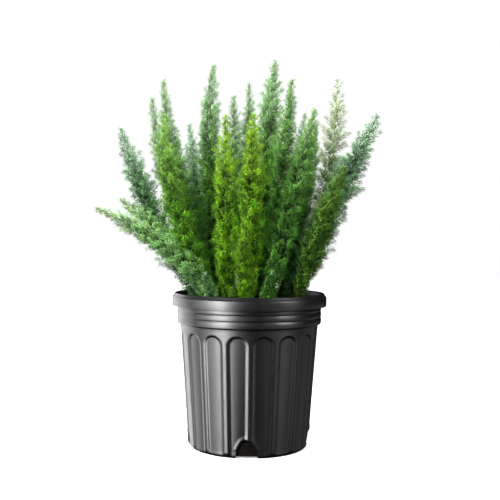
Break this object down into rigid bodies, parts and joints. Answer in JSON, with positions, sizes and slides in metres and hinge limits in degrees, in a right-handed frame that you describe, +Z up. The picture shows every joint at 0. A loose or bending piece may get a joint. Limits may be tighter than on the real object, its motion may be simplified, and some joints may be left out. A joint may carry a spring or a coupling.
{
  "type": "potted foxtail fern",
  "caption": "Foxtail fern in a round black nursery pot: a clump of upright bushy green plumes, each a stem clothed in short needled side shoots.",
  "frame": {"origin": "centre of the pot's flat underside, on the surface that it stands on", "axes": "+Z up along the pot's axis, -Y towards the front of the plant, +X to its right as seen from the front"},
  "size_m": [0.4572, 0.3541, 0.641],
  "materials": {
    "pot_plastic": "satin black moulded plastic",
    "potting_mix": "damp crumbly bark and peat",
    "foliage_blue_green": "fine needles with a blue-green bloom",
    "foliage_mid_green": "fine fresh green needles",
    "foliage_lime_green": "fine young lime-green needles"
  },
  "bodies": {
    "root": {"pot": "pot_plastic", "soil": "potting_mix", "plume_01": "foliage_blue_green", "plume_02": "foliage_blue_green", "plume_03": "foliage_blue_green", "plume_04": "foliage_mid_green", "plume_05": "foliage_mid_green", "plume_06": "foliage_mid_green", "plume_07": "foliage_blue_green", "plume_08": "foliage_mid_green", "plume_09": "foliage_blue_green", "plume_10": "foliage_lime_green", "plume_11": "foliage_lime_green", "plume_12": "foliage_mid_green", "plume_13": "foliage_mid_green", "plume_14": "foliage_lime_green", "plume_15": "foliage_mid_green", "plume_16": "foliage_mid_green", "plume_17": "foliage_blue_green", "plume_18": "foliage_blue_green", "plume_19": "foliage_blue_green", "plume_20": "foliage_blue_green", "plume_21": "foliage_lime_green", "plume_22": "foliage_blue_green", "plume_23": "foliage_lime_green", "plume_24": "foliage_blue_green", "plume_25": "foliage_blue_green", "plume_26": "foliage_mid_green", "plume_27": "foliage_mid_green", "plume_28": "foliage_blue_green", "plume_29": "foliage_mid_green", "shoot_01": "foliage_lime_green", "shoot_02": "foliage_lime_green", "shoot_03": "foliage_mid_green", "shoot_04": "foliage_blue_green", "shoot_05": "foliage_mid_green", "shoot_06": "foliage_mid_green", "shoot_07": "foliage_lime_green"}
  },
  "joints": []
}
